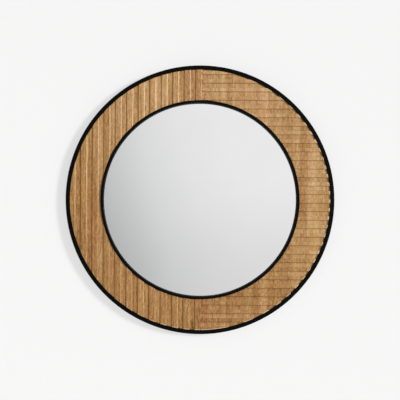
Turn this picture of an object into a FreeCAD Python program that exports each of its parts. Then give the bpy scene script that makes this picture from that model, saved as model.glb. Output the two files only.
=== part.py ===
"""Round wall mirror: a reeded wood ring between two black steel hoops. Millimetres.

The wall is the XZ plane, the mirror looks along -Y and hangs with +Z up. The origin is the point of the wall
behind the middle of the glass. A "stand-off" is a distance from the wall towards the viewer, along -Y.
"""
import FreeCAD, Part
import math
import os
import Sketcher

# Driving dimensions: alias, value, what it is
SIZES = [
    ("rim_diameter", 800.0, "outer hoop, outside"),
    ("rim_width", 12.0, "outer hoop tube, seen from the front"),
    ("rim_depth", 25.0, "outer hoop tube, from back to front"),
    ("rim_wall", 1.5, "outer hoop tube wall"),
    ("rim_corner", 1.2, "outer hoop tube, eased corner at its outer front"),
    ("opening_diameter", 575.0, "inner hoop, inside"),
    ("inner_hoop_width", 8.5, "inner hoop bar, seen from the front"),
    ("inner_hoop_corner", 1.0, "inner hoop bar, eased corner next to the glass"),
    ("hoop_proud", 0.6, "hoops stand this much in front of the wood"),
    ("wood_thickness", 12.0, "wood halves, over the raised strips"),
    ("wood_fit", 0.5, "gap between the wood or the board and the hoops"),
    ("seam_offset", 4.3, "seam of the halves, right of the middle"),
    ("flute_depth", 3.0, "channels, below the raised strips"),
    ("flute_ease", 2.6, "radius on the edges of the raised strips"),
    ("upright_strip", 19.1, "raised strip of the left half"),
    ("upright_flute", 15.0, "channel of the left half"),
    ("level_strip", 12.7, "raised strip of the right half"),
    ("level_flute", 12.7, "channel of the right half"),
    ("level_offset", 3.9, "lower wall of the right half's middle channel, above the middle"),
    ("board_thickness", 6.0, "plywood backing board"),
    ("glass_thickness", 4.0, "mirror glass"),
    ("glass_fit", 0.8, "gap between the glass edge and the inner hoop"),
    ("glass_arris", 0.6, "ground front edge of the glass"),
    ("tape_thickness", 1.0, "foam tape between the glass and the board"),
    ("tape_width", 25.0, "foam tape strip, across"),
    ("tape_length", 300.0, "foam tape strip, along"),
    ("tape_pitch", 100.0, "foam tape strips, middle to middle"),
    ("tape_count", 5, "foam tape strips"),
    ("bumper_diameter", 8.0, "felt pads on the back of the outer hoop"),
    ("bumper_thickness", 2.0, "felt pads, so also the gap to the wall"),
    ("bumper_count", 4, "felt pads"),
    ("tab_length", 17.0, "welded tab, inwards from the outer hoop"),
    ("tab_width", 20.0, "welded tab, along the outer hoop"),
    ("tab_thickness", 2.0, "welded tab"),
    ("tab_corner", 4.0, "welded tab corner radius"),
    ("weld_gap", 0.3, "root gap between a tab and the outer hoop"),
    ("tabs_per_half", 3, "tabs behind each wood half"),
    ("tab_screw_inset", 10.0, "tab screw, inwards from the outer hoop"),
    ("tab_screw_shank", 3.5, "tab screw shank diameter"),
    ("tab_screw_head", 7.0, "tab screw head diameter"),
    ("tab_screw_head_height", 2.4, "tab screw head"),
    ("tab_screw_length", 14.0, "tab screw under its head"),
    ("wood_screw_shank", 3.5, "wood half screw shank diameter"),
    ("wood_screw_head", 7.0, "wood half screw head diameter"),
    ("wood_screw_head_height", 2.2, "wood half screw countersunk head"),
    ("wood_screw_length", 12.0, "wood half screw, head and all"),
    ("wood_screws_per_half", 3, "screws behind each wood half"),
    ("hoop_screw_shank", 4.0, "inner hoop screw shank diameter"),
    ("hoop_screw_head", 7.5, "inner hoop screw head diameter"),
    ("hoop_screw_head_height", 2.2, "inner hoop screw countersunk head"),
    ("hoop_screw_length", 14.0, "inner hoop screw, head and all"),
    ("hoop_screw_count", 4, "inner hoop screws"),
    ("screw_fit", 0.15, "gap round the screws in their holes"),
    ("hanger_spacing", 480.0, "hanger to hanger, across"),
    ("hanger_height", 250.0, "hanger hinge axis above the middle"),
    ("strap_width", 16.0, "hanger strap, across"),
    ("strap_length", 52.0, "hanger strap, hinge axis to lower end"),
    ("strap_sheet", 1.0, "hanger strap sheet, folded double"),
    ("strap_corner", 5.0, "hanger strap end corner radius"),
    ("strap_screw_upper", 28.0, "hinge axis to the upper screw"),
    ("strap_screw_pitch", 16.0, "upper to lower strap screw"),
    ("strap_screw_shank", 3.5, "strap screw shank diameter"),
    ("strap_screw_head", 7.0, "strap screw head diameter"),
    ("strap_screw_head_height", 2.2, "strap screw head"),
    ("strap_screw_length", 13.0, "strap screw under its head"),
    ("ring_wire", 3.5, "hanger ring wire diameter"),
    ("ring_width", 22.0, "hanger ring inside width"),
    ("ring_straight", 8.0, "hanger ring, hinge axis to the middle of its bow"),
    ("ring_bend", 3.8, "hanger ring corner bend, at the wire's middle"),
    ("ring_fit", 0.1, "gap round the ring's pin in the strap's knuckle"),
    ("ring_rest_gap", 0.3, "gap between the hanging ring and its strap"),
    ("overrun", 5.0, "how far a cut runs past the face it leaves"),
]

# Places worked out from the sizes, as expressions
RIM_OUTER = "Sizes.rim_diameter / 2"
RIM_INNER = f"({RIM_OUTER} - Sizes.rim_width)"
RIM_BACK = "Sizes.bumper_thickness"
RIM_FRONT = f"({RIM_BACK} + Sizes.rim_depth)"
WOOD_FRONT = f"({RIM_FRONT} - Sizes.hoop_proud)"
BOARD_FRONT = f"({WOOD_FRONT} - Sizes.wood_thickness)"
BOARD_BACK = f"({BOARD_FRONT} - Sizes.board_thickness)"
BOARD_OUTER = f"({RIM_INNER} - Sizes.wood_fit)"
OPENING_RADIUS = "Sizes.opening_diameter / 2"
INNER_HOOP_OUTER = f"({OPENING_RADIUS} + Sizes.inner_hoop_width)"
WOOD_INNER = f"({INNER_HOOP_OUTER} + Sizes.wood_fit)"
WOOD_MIDDLE = f"(({WOOD_INNER} + {BOARD_OUTER}) / 2)"
GLASS_BACK = f"({BOARD_FRONT} + Sizes.tape_thickness)"
GLASS_FRONT = f"({GLASS_BACK} + Sizes.glass_thickness)"
UPRIGHT_PITCH = "(Sizes.upright_strip + Sizes.upright_flute)"
LEVEL_PITCH = "(Sizes.level_strip + Sizes.level_flute)"
HANGER_SIDE = "Sizes.hanger_spacing / 2"
PIN_RADIUS = "(Sizes.ring_wire / 2)"
KNUCKLE_BORE = f"({PIN_RADIUS} + Sizes.ring_fit)"
KNUCKLE_RADIUS = f"({KNUCKLE_BORE} + Sizes.strap_sheet)"
STRAP_THICKNESS = "(2 * Sizes.strap_sheet)"
HINGE_STANDOFF = f"({BOARD_BACK} - {KNUCKLE_RADIUS})"
RING_HALF = f"(Sizes.ring_width / 2 + {PIN_RADIUS})"
RING_REACH = f"(Sizes.ring_straight + {RING_HALF})"
RING_LIFT = f"({STRAP_THICKNESS} + Sizes.ring_rest_gap + {PIN_RADIUS} - {KNUCKLE_RADIUS})"
RING_TILT = f"asin({RING_LIFT} / {RING_REACH})"

TAB_SCREW = {
    "seat": f"({BOARD_BACK} - Sizes.tab_thickness)",
    "shank": "Sizes.tab_screw_shank / 2",
    "head": "Sizes.tab_screw_head / 2",
    "head_height": "Sizes.tab_screw_head_height",
    "length": "Sizes.tab_screw_length",
    "countersunk": False,
}
WOOD_SCREW = {
    "seat": BOARD_BACK,
    "shank": "Sizes.wood_screw_shank / 2",
    "head": "Sizes.wood_screw_head / 2",
    "head_height": "Sizes.wood_screw_head_height",
    "length": "Sizes.wood_screw_length",
    "countersunk": True,
}
HOOP_SCREW = {
    "seat": BOARD_BACK,
    "shank": "Sizes.hoop_screw_shank / 2",
    "head": "Sizes.hoop_screw_head / 2",
    "head_height": "Sizes.hoop_screw_head_height",
    "length": "Sizes.hoop_screw_length",
    "countersunk": True,
}
STRAP_SCREW = {
    "seat": f"({BOARD_BACK} - {STRAP_THICKNESS})",
    "shank": "Sizes.strap_screw_shank / 2",
    "head": "Sizes.strap_screw_head / 2",
    "head_height": "Sizes.strap_screw_head_height",
    "length": "Sizes.strap_screw_length",
    "countersunk": False,
}
TAB_SCREW_RADIUS = f"({RIM_INNER} - Sizes.tab_screw_inset)"
HOOP_SCREW_RADIUS = f"({OPENING_RADIUS} + Sizes.inner_hoop_width / 2)"
STRAP_SCREW_HEIGHT = "(Sizes.hanger_height - Sizes.strap_screw_upper)"

LEFT = -1
RIGHT = 1


# The document and its sheet

def make_sizes(doc):
    sheet = doc.addObject("Spreadsheet::Sheet", "Sizes")
    for row, (alias, value, meaning) in enumerate(SIZES, start=1):
        sheet.set(f"A{row}", alias)
        sheet.set(f"B{row}", str(value))
        sheet.set(f"C{row}", meaning)
        sheet.setAlias(f"B{row}", alias)
    doc.recompute()
    return sheet


def make_body(doc, label):
    body = doc.addObject("PartDesign::Body", label)
    body.Label = label
    body.AllowCompound = True
    return body


def origin_feature(body, role):
    return next(item for item in body.Origin.OriginFeatures if item.Role == role)


# Sketches whose every dimension is bound to the sheet

class Drawing:
    """A sketch on one of its body's origin planes. Places and radii are given as expressions."""

    def __init__(self, body, name, plane, offset=None, turn=None, turn_axis=(0, 0, 1)):
        self.sketch = body.newObject("Sketcher::SketchObject", name)
        self.sketch.AttachmentSupport = [(origin_feature(body, plane), "")]
        self.sketch.MapMode = "FlatFace"
        if turn is not None:
            rotation = FreeCAD.Rotation(FreeCAD.Vector(*turn_axis), self.value(turn))
            self.sketch.AttachmentOffset = FreeCAD.Placement(FreeCAD.Vector(), rotation)
            self.sketch.setExpression("AttachmentOffset.Rotation.Angle", turn)
        if offset is not None:
            self.sketch.setExpression("AttachmentOffset.Base.z", offset)

    def value(self, expression):
        return float(self.sketch.evalExpression(expression))

    def point(self, place):
        return FreeCAD.Vector(self.value(place[0]), self.value(place[1]), 0)

    def bind(self, constraint, expression):
        index = self.sketch.addConstraint(constraint)
        self.sketch.setExpression(f"Constraints[{index}]", expression)

    def pin(self, geometry, vertex, place):
        """Hold one vertex at a place measured from the sketch's origin."""
        for kind, axis, expression in (("DistanceX", -2, place[0]), ("DistanceY", -1, place[1])):
            value = self.value(expression)
            if expression == "0":
                self.sketch.addConstraint(Sketcher.Constraint("PointOnObject", geometry, vertex, axis))
            else:
                self.bind(Sketcher.Constraint(kind, -1, 1, geometry, vertex, value), expression)

    def circle(self, centre, radius):
        shape = Part.Circle(self.point(centre), FreeCAD.Vector(0, 0, 1), self.value(radius))
        index = self.sketch.addGeometry(shape, False)
        self.bind(Sketcher.Constraint("Radius", index, self.value(radius)), radius)
        if centre == ("0", "0"):
            self.sketch.addConstraint(Sketcher.Constraint("Coincident", index, 3, -1, 1))
        else:
            self.pin(index, 3, centre)

    def outline(self, steps):
        """A closed outline. A step is (x, y), or (x, y, radius, side) where an arc ends there.

        Side is 1 for an arc that turns anticlockwise and -1 for one that turns clockwise.
        """
        first = self.sketch.GeometryCount
        count = len(steps)
        for index, step in enumerate(steps):
            start = self.point(steps[index - 1])
            end = self.point(step)
            if len(step) == 2:
                self.sketch.addGeometry(Part.LineSegment(start, end), False)
            else:
                self.sketch.addGeometry(self.arc(start, end, self.value(step[2]), step[3]), False)
        for index, step in enumerate(steps):
            here = first + index
            after = first + (index + 1) % count
            ends_at = self.end_vertex(step)
            starts_at = self.start_vertex(steps[(index + 1) % count])
            self.sketch.addConstraint(Sketcher.Constraint("Coincident", here, ends_at, after, starts_at))
        for index, step in enumerate(steps):
            self.pin(first + index, self.end_vertex(step), step)
            if len(step) > 2:
                self.bind(Sketcher.Constraint("Radius", first + index, self.value(step[2])), step[2])

    @staticmethod
    def end_vertex(step):
        return 1 if len(step) > 2 and step[3] < 0 else 2

    @staticmethod
    def start_vertex(step):
        return 2 if len(step) > 2 and step[3] < 0 else 1

    @staticmethod
    def arc(start, end, radius, side):
        """The short arc from start to end that turns to the given side."""
        chord = end - start
        across = FreeCAD.Vector(-chord.y, chord.x, 0)
        across.normalize()
        rise = math.sqrt(max(radius ** 2 - (chord.Length / 2) ** 2, 0))
        centre = (start + end) / 2 + across * (side * rise)
        from_end = (start, end) if side > 0 else (end, start)
        angles = [math.atan2(point.y - centre.y, point.x - centre.x) for point in from_end]
        return Part.ArcOfCircle(Part.Circle(centre, FreeCAD.Vector(0, 0, 1), radius), angles[0], angles[1])


# Features

def pad(body, name, drawing, length, symmetric=False):
    feature = body.newObject("PartDesign::Pad", name)
    feature.Profile = drawing.sketch
    feature.setExpression("Length", length)
    if symmetric:
        feature.SideType = "Symmetric"
    body.Document.recompute()
    return feature


def remove(body, kind, name, drawing, settings):
    """A pocket or groove that has to take wood, board or metal away."""
    before = body.Shape.Volume
    feature = body.newObject(kind, name)
    feature.Profile = drawing.sketch
    settings(feature)
    body.Document.recompute()
    if not body.Shape.Volume < before:
        raise RuntimeError(f"{body.Label}: {name} removed nothing")
    return feature


def pocket_across(body, name, drawing):
    """A pocket that runs through the whole body, both ways from the sketch."""
    def settings(feature):
        feature.SideType = "Symmetric"
        feature.setExpression("Length", "Sizes.rim_diameter")
    return remove(body, "PartDesign::Pocket", name, drawing, settings)


def revolve(body, name, drawing, axis):
    feature = body.newObject("PartDesign::Revolution", name)
    feature.Profile = drawing.sketch
    feature.ReferenceAxis = (drawing.sketch, [axis])
    feature.Angle = 360
    body.Document.recompute()
    return feature


def groove(body, name, drawing, axis):
    def settings(feature):
        feature.ReferenceAxis = (drawing.sketch, [axis])
        feature.Angle = 360
    return remove(body, "PartDesign::Groove", name, drawing, settings)


def pattern_polar(body, name, original, count, angle="360"):
    """Copies round the mirror's axis: a full circle, or an arc with a copy at each end."""
    feature = body.newObject("PartDesign::PolarPattern", name)
    feature.Originals = [original]
    feature.Axis = (origin_feature(body, "Y_Axis"), [""])
    feature.setExpression("Angle", angle)
    feature.setExpression("Occurrences", count)
    body.Tip = feature
    body.Document.recompute()
    return feature


def pattern_linear(body, name, original, role, pitch, count, backwards=False):
    feature = body.newObject("PartDesign::LinearPattern", name)
    feature.Originals = [original]
    feature.Direction = (origin_feature(body, role), [""])
    feature.Reversed = backwards
    feature.Mode = "Spacing"
    feature.setExpression("Offset", pitch)
    feature.setExpression("Occurrences", count)
    body.Tip = feature
    body.Document.recompute()
    return feature


# Screws, and the holes that fit them

def screw_drawing(body, name, screw, across, grow="0", turn=None, lift=None):
    """Half of a screw's lengthwise section, beside its axis. Grow widens it into its hole."""
    drawing = Drawing(body, name, "XY_Plane", offset=lift, turn=turn, turn_axis=(0, 1, 0))
    seat = screw["seat"]
    shank = f"({across} + {screw['shank']} + {grow})"
    head = f"({across} + {screw['head']} + {grow})"
    end = f"-({seat} + {screw['length']} + {grow})"
    if screw["countersunk"]:
        drawing.outline([
            (across, f"-{seat}"),
            (head, f"-{seat}"),
            (shank, f"-({seat} + {screw['head_height']})"),
            (shank, end),
            (across, end),
        ][::-1])
    else:
        top = f"-({seat} - {screw['head_height']})"
        drawing.outline([
            (across, top),
            (f"({across} + {screw['head']} - {screw['head_height']} / 2)", top),
            (head, f"-({seat} - {screw['head_height']} / 2)"),
            (head, f"-{seat}"),
            (shank, f"-{seat}"),
            (shank, end),
            (across, end),
        ][::-1])
    axis = drawing.sketch.addGeometry(
        Part.LineSegment(drawing.point((across, f"-{seat}")), drawing.point((across, end))), True)
    drawing.pin(axis, 1, (across, f"-{seat}"))
    drawing.pin(axis, 2, (across, end))
    return drawing


def screw_solid(body, name, screw, across, **place):
    return revolve(body, name, screw_drawing(body, f"{name}_section", screw, across, **place), "Axis0")


def screw_hole(body, name, screw, across, **place):
    drawing = screw_drawing(body, f"{name}_section", screw, across, grow="Sizes.screw_fit", **place)
    return groove(body, name, drawing, "Axis0")


def first_of_half(per_half):
    """Angle from a half's middle to its outermost hole, with the holes of both halves evenly spaced."""
    return f"(90 * ({per_half} - 1) / {per_half})"


def holes_in_half(body, name, screw, radius, per_half, side):
    """Holes for one ring of screws in one wood half."""
    outermost = first_of_half(per_half)
    turn = f"-{outermost}" if side == RIGHT else f"(180 - {outermost})"
    hole = screw_hole(body, f"{name}_hole", screw, radius, turn=turn)
    pattern_polar(body, f"{name}_holes", hole, per_half, angle=f"2 * {outermost}")


# Steel hoops

def outer_hoop(doc):
    """Rolled rectangular tube, welded into a hoop."""
    body = make_body(doc, "outer_hoop")
    section = Drawing(body, "tube_section", "XY_Plane")
    ease = "Sizes.rim_corner"
    section.outline([
        (RIM_INNER, f"-{RIM_BACK}"),
        (RIM_INNER, f"-{RIM_FRONT}"),
        (f"{RIM_OUTER} - {ease}", f"-{RIM_FRONT}"),
        (RIM_OUTER, f"-{RIM_FRONT} + {ease}"),
        (RIM_OUTER, f"-{RIM_BACK}"),
    ])
    inside = f"{RIM_INNER} + Sizes.rim_wall"
    outside = f"{RIM_OUTER} - Sizes.rim_wall"
    front = f"-{RIM_FRONT} + Sizes.rim_wall"
    back = f"-{RIM_BACK} - Sizes.rim_wall"
    section.outline([(inside, front), (outside, front), (outside, back), (inside, back)])
    revolve(body, "tube", section, "V_Axis")
    return body


def inner_hoop(doc):
    """Rolled bar round the glass, tapped from behind."""
    body = make_body(doc, "inner_hoop")
    section = Drawing(body, "bar_section", "XY_Plane")
    ease = "Sizes.inner_hoop_corner"
    front = f"-{RIM_FRONT}"
    section.outline([
        (OPENING_RADIUS, f"-{BOARD_FRONT}"),
        (OPENING_RADIUS, f"{front} + {ease}"),
        (f"{OPENING_RADIUS} + {ease}", front),
        (INNER_HOOP_OUTER, front),
        (INNER_HOOP_OUTER, f"-{BOARD_FRONT}"),
    ])
    revolve(body, "bar", section, "V_Axis")
    hole = screw_hole(body, "tapped_hole", HOOP_SCREW, HOOP_SCREW_RADIUS)
    pattern_polar(body, "tapped_holes", hole, "Sizes.hoop_screw_count")
    return body


def hoop_tabs(doc):
    """Flat tabs welded inside the outer hoop, behind the board."""
    body = make_body(doc, "hoop_tabs")
    start = first_of_half("Sizes.tabs_per_half")
    plate = Drawing(body, "tab_outline", "XZ_Plane", offset=TAB_SCREW["seat"], turn=start)
    edge = f"({RIM_INNER} - Sizes.weld_gap)"
    half = "(Sizes.tab_width / 2)"
    outer = f"sqrt({edge} ^ 2 - {half} ^ 2)"
    inner = f"({RIM_INNER} - Sizes.tab_length)"
    corner = "Sizes.tab_corner"
    plate.outline([
        (outer, f"-{half}"),
        (outer, half, edge, 1),
        (f"{inner} + {corner}", half),
        (inner, f"{half} - {corner}", corner, 1),
        (inner, f"-{half} + {corner}"),
        (f"{inner} + {corner}", f"-{half}", corner, 1),
    ])
    plate.circle((TAB_SCREW_RADIUS, "0"), f"{TAB_SCREW['shank']} + Sizes.screw_fit")
    tab = pad(body, "tab", plate, "Sizes.tab_thickness")
    pattern_polar(body, "tabs", tab, "2 * Sizes.tabs_per_half")
    return body


# Wood halves

def flute_outline(drawing, near, far, upright):
    """Section of one channel: flat floor, straight walls and eased upper edges.

    Near and far are its walls. Upright channels are drawn across X, level ones across Z.
    """
    ease = "Sizes.flute_ease"
    floor = f"-({WOOD_FRONT} - Sizes.flute_depth)"
    turn = f"-({WOOD_FRONT} - {ease})"
    front = f"-{WOOD_FRONT}"
    out = f"-({WOOD_FRONT} + Sizes.overrun)"
    steps = [
        (near, floor),
        (far, floor),
        (far, turn),
        (f"{far} + {ease}", front, ease, 1),
        (f"{far} + {ease}", out),
        (f"{near} - {ease}", out),
        (f"{near} - {ease}", front),
        (near, turn, ease, 1),
    ]
    drawing.outline(steps if upright else [swap_axes(*step) for step in steps])


def swap_axes(across, along, *arc):
    """One step of an outline with its two axes swapped, which turns its arc the other way."""
    return (along, across, arc[0], -arc[1]) if arc else (along, across)


def half_blank(body, side):
    """Half a ring of board, cut straight along the seam."""
    seam = "Sizes.seam_offset"
    shape = Drawing(body, "half_ring", "XZ_Plane", offset=BOARD_FRONT)
    outer = f"sqrt({BOARD_OUTER} ^ 2 - {seam} ^ 2)"
    inner = f"sqrt({WOOD_INNER} ^ 2 - {seam} ^ 2)"
    sketch = shape.sketch
    start, end = (-math.pi / 2, math.pi / 2) if side == RIGHT else (math.pi / 2, 3 * math.pi / 2)
    for radius in (BOARD_OUTER, WOOD_INNER):
        circle = Part.Circle(FreeCAD.Vector(), FreeCAD.Vector(0, 0, 1), shape.value(radius))
        index = sketch.addGeometry(Part.ArcOfCircle(circle, start, end), False)
        sketch.addConstraint(Sketcher.Constraint("Coincident", index, 3, -1, 1))
        shape.bind(Sketcher.Constraint("Radius", index, shape.value(radius)), radius)
    for vertex, sign in ((1, -side), (2, side)):
        far = shape.point((seam, f"{sign} * {outer}"))
        near = shape.point((seam, f"{sign} * {inner}"))
        line = sketch.addGeometry(Part.LineSegment(far, near), False)
        sketch.addConstraint(Sketcher.Constraint("Coincident", line, 1, 0, vertex))
        sketch.addConstraint(Sketcher.Constraint("Coincident", line, 2, 1, vertex))
        for point in (1, 2):
            shape.bind(Sketcher.Constraint("DistanceX", -1, 1, line, point, shape.value(seam)), seam)
    pad(body, "blank", shape, "Sizes.wood_thickness")


def back_holes(body, side):
    """Pilot holes from behind for the three kinds of wood screw."""
    holes_in_half(body, "wood_screw", WOOD_SCREW, WOOD_MIDDLE, "Sizes.wood_screws_per_half", side)
    holes_in_half(body, "tab_screw", TAB_SCREW, TAB_SCREW_RADIUS, "Sizes.tabs_per_half", side)
    hole = screw_hole(
        body, "strap_screw_hole", STRAP_SCREW, f"{side} * {HANGER_SIDE}", lift=STRAP_SCREW_HEIGHT)
    pattern_linear(body, "strap_screw_holes", hole, "Z_Axis", "Sizes.strap_screw_pitch", "2", backwards=True)


def left_wood_half(doc):
    """The half with upright channels, whose last raised strip ends at the seam."""
    body = make_body(doc, "left_wood_half")
    half_blank(body, LEFT)
    seam = "Sizes.seam_offset"
    ease = "Sizes.flute_ease"
    channel = Drawing(body, "upright_flute_section", "XY_Plane")
    flute_outline(channel, f"{seam} - {UPRIGHT_PITCH}", f"{seam} - Sizes.upright_strip", upright=True)
    flute = pocket_across(body, "upright_flute", channel)
    count = f"ceil(({BOARD_OUTER} + {seam} - Sizes.upright_strip) / {UPRIGHT_PITCH})"
    pattern_linear(body, "upright_flutes", flute, "X_Axis", UPRIGHT_PITCH, count, backwards=True)
    edge = Drawing(body, "seam_ease_section", "XY_Plane")
    front = f"-{WOOD_FRONT}"
    out = f"-({WOOD_FRONT} + Sizes.overrun)"
    turn = f"-({WOOD_FRONT} - {ease})"
    edge.outline([
        (f"{seam} - {ease}", front),
        (f"{seam} - {ease}", out),
        (f"{seam} + Sizes.overrun", out),
        (f"{seam} + Sizes.overrun", turn),
        (seam, turn),
        (f"{seam} - {ease}", front, ease, -1),
    ][1:])
    pocket_across(body, "seam_ease", edge)
    back_holes(body, LEFT)
    return body


def right_wood_half(doc):
    """The half with level channels, one of them just above the middle."""
    body = make_body(doc, "right_wood_half")
    half_blank(body, RIGHT)
    channel = Drawing(body, "level_flute_section", "YZ_Plane")
    lower = "Sizes.level_offset"
    flute_outline(channel, lower, f"{lower} + Sizes.level_flute", upright=False)
    flute = pocket_across(body, "level_flute", channel)
    count = f"floor(({BOARD_OUTER} + {lower} + Sizes.level_flute) / {LEVEL_PITCH}) + 1"
    pattern_linear(body, "level_flutes_above", flute, "Z_Axis", LEVEL_PITCH, count)
    pattern_linear(body, "level_flutes_below", flute, "Z_Axis", LEVEL_PITCH, count, backwards=True)
    back_holes(body, RIGHT)
    return body


# Backing board, glass and tape

def backing_board(doc):
    body = make_body(doc, "backing_board")
    disc = Drawing(body, "disc", "XZ_Plane", offset=BOARD_BACK)
    disc.circle(("0", "0"), BOARD_OUTER)
    pad(body, "board", disc, "Sizes.board_thickness")
    rings = (
        ("wood_screw", WOOD_SCREW, WOOD_MIDDLE, "Sizes.wood_screws_per_half"),
        ("tab_screw", TAB_SCREW, TAB_SCREW_RADIUS, "Sizes.tabs_per_half"),
    )
    for name, screw, radius, per_half in rings:
        hole = screw_hole(body, f"{name}_hole", screw, radius, turn=first_of_half(per_half))
        pattern_polar(body, f"{name}_holes", hole, f"2 * {per_half}")
    hole = screw_hole(body, "hoop_screw_hole", HOOP_SCREW, HOOP_SCREW_RADIUS)
    pattern_polar(body, "hoop_screw_holes", hole, "Sizes.hoop_screw_count")
    for name, side in (("left", LEFT), ("right", RIGHT)):
        hole = screw_hole(
            body, f"{name}_strap_hole", STRAP_SCREW, f"{side} * {HANGER_SIDE}", lift=STRAP_SCREW_HEIGHT)
        pattern_linear(
            body, f"{name}_strap_holes", hole, "Z_Axis", "Sizes.strap_screw_pitch", "2", backwards=True)
    return body


def mirror_glass(doc):
    """Round glass with a ground front edge."""
    body = make_body(doc, "mirror_glass")
    edge = f"({OPENING_RADIUS} - Sizes.glass_fit)"
    arris = "Sizes.glass_arris"
    section = Drawing(body, "glass_section", "XY_Plane")
    section.outline([
        ("0", f"-{GLASS_FRONT}"),
        (f"{edge} - {arris}", f"-{GLASS_FRONT}"),
        (edge, f"-{GLASS_FRONT} + {arris}"),
        (edge, f"-{GLASS_BACK}"),
        ("0", f"-{GLASS_BACK}"),
    ])
    revolve(body, "glass", section, "V_Axis")
    return body


def glass_tape(doc):
    """Upright strips of double-sided foam tape."""
    body = make_body(doc, "glass_tape")
    first = "(-(Sizes.tape_count - 1) / 2 * Sizes.tape_pitch)"
    half_width = "Sizes.tape_width / 2"
    half_length = "Sizes.tape_length / 2"
    strip = Drawing(body, "strip_outline", "XZ_Plane", offset=BOARD_FRONT)
    strip.outline([
        (f"{first} - {half_width}", f"-{half_length}"),
        (f"{first} + {half_width}", f"-{half_length}"),
        (f"{first} + {half_width}", half_length),
        (f"{first} - {half_width}", half_length),
    ])
    tape = pad(body, "strip", strip, "Sizes.tape_thickness")
    pattern_linear(body, "strips", tape, "X_Axis", "Sizes.tape_pitch", "Sizes.tape_count")
    return body


# Fasteners and pads

def tab_screws(doc):
    body = make_body(doc, "tab_screws")
    start = first_of_half("Sizes.tabs_per_half")
    screw = screw_solid(body, "screw", TAB_SCREW, TAB_SCREW_RADIUS, turn=start)
    pattern_polar(body, "screws", screw, "2 * Sizes.tabs_per_half")
    return body


def wood_half_screws(doc):
    body = make_body(doc, "wood_half_screws")
    start = first_of_half("Sizes.wood_screws_per_half")
    screw = screw_solid(body, "screw", WOOD_SCREW, WOOD_MIDDLE, turn=start)
    pattern_polar(body, "screws", screw, "2 * Sizes.wood_screws_per_half")
    return body


def inner_hoop_screws(doc):
    body = make_body(doc, "inner_hoop_screws")
    screw = screw_solid(body, "screw", HOOP_SCREW, HOOP_SCREW_RADIUS)
    pattern_polar(body, "screws", screw, "Sizes.hoop_screw_count")
    return body


def hanger_screws(doc, name, side):
    body = make_body(doc, name)
    screw = screw_solid(body, "screw", STRAP_SCREW, f"{side} * {HANGER_SIDE}", lift=STRAP_SCREW_HEIGHT)
    pattern_linear(body, "screws", screw, "Z_Axis", "Sizes.strap_screw_pitch", "2", backwards=True)
    return body


def wall_bumpers(doc):
    """Round felt pads on the back edge of the outer hoop."""
    body = make_body(doc, "wall_bumpers")
    disc = Drawing(body, "pad_outline", "XZ_Plane", turn="180 / Sizes.bumper_count")
    disc.circle((f"({RIM_OUTER} - Sizes.rim_width / 2)", "0"), "Sizes.bumper_diameter / 2")
    bumper = pad(body, "bumper", disc, "Sizes.bumper_thickness")
    pattern_polar(body, "bumpers", bumper, "Sizes.bumper_count")
    return body


# Hangers, each drawn about its own hinge axis

def place_at_hinge(body, side, tilt=None):
    if tilt is not None:
        body.Placement = FreeCAD.Placement(FreeCAD.Vector(), FreeCAD.Rotation(FreeCAD.Vector(1, 0, 0), 1))
        body.setExpression("Placement.Rotation.Angle", tilt)
    body.setExpression("Placement.Base.x", f"{side} * {HANGER_SIDE}")
    body.setExpression("Placement.Base.y", f"-{HINGE_STANDOFF}")
    body.setExpression("Placement.Base.z", "Sizes.hanger_height")
    body.Document.recompute()


def edges_at_height(shape, height):
    """Names of the edges that run along Y at one height."""
    names = []
    for index, edge in enumerate(shape.Edges, start=1):
        ends = [vertex.Point for vertex in edge.Vertexes]
        level = all(math.isclose(point.z, height, abs_tol=1e-6) for point in ends)
        along = len(ends) == 2 and math.isclose(ends[0].x, ends[1].x, abs_tol=1e-6)
        if level and along:
            names.append(f"Edge{index}")
    return names


def hanger_strap(doc, name, side):
    """Sheet folded double round the ring's pin, with two screw holes and rounded lower corners."""
    body = make_body(doc, name)
    side_view = Drawing(body, "fold_section", "YZ_Plane")
    seat = f"-{KNUCKLE_RADIUS}"
    face = f"({seat} + {STRAP_THICKNESS})"
    meet = f"-sqrt({KNUCKLE_RADIUS} ^ 2 - {face} ^ 2)"
    end = "-Sizes.strap_length"
    side_view.outline([
        (seat, end),
        (face, end),
        (face, meet),
        ("0", KNUCKLE_RADIUS, KNUCKLE_RADIUS, 1),
        (seat, "0", KNUCKLE_RADIUS, 1),
    ])
    side_view.circle(("0", "0"), KNUCKLE_BORE)
    strap = pad(body, "strap", side_view, "Sizes.strap_width", symmetric=True)
    corners = body.newObject("PartDesign::Fillet", "end_corners")
    corners.Base = (strap, edges_at_height(strap.Shape, -corners.evalExpression("Sizes.strap_length")))
    corners.setExpression("Radius", "Sizes.strap_corner")
    doc.recompute()
    holes = Drawing(body, "screw_hole_outline", "XZ_Plane")
    holes.circle(("0", "-Sizes.strap_screw_upper"), f"{STRAP_SCREW['shank']} + Sizes.screw_fit")
    hole = pocket_across(body, "screw_hole", holes)
    pattern_linear(body, "screw_holes", hole, "Z_Axis", "Sizes.strap_screw_pitch", "2", backwards=True)
    place_at_hinge(body, side)
    return body


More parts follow.
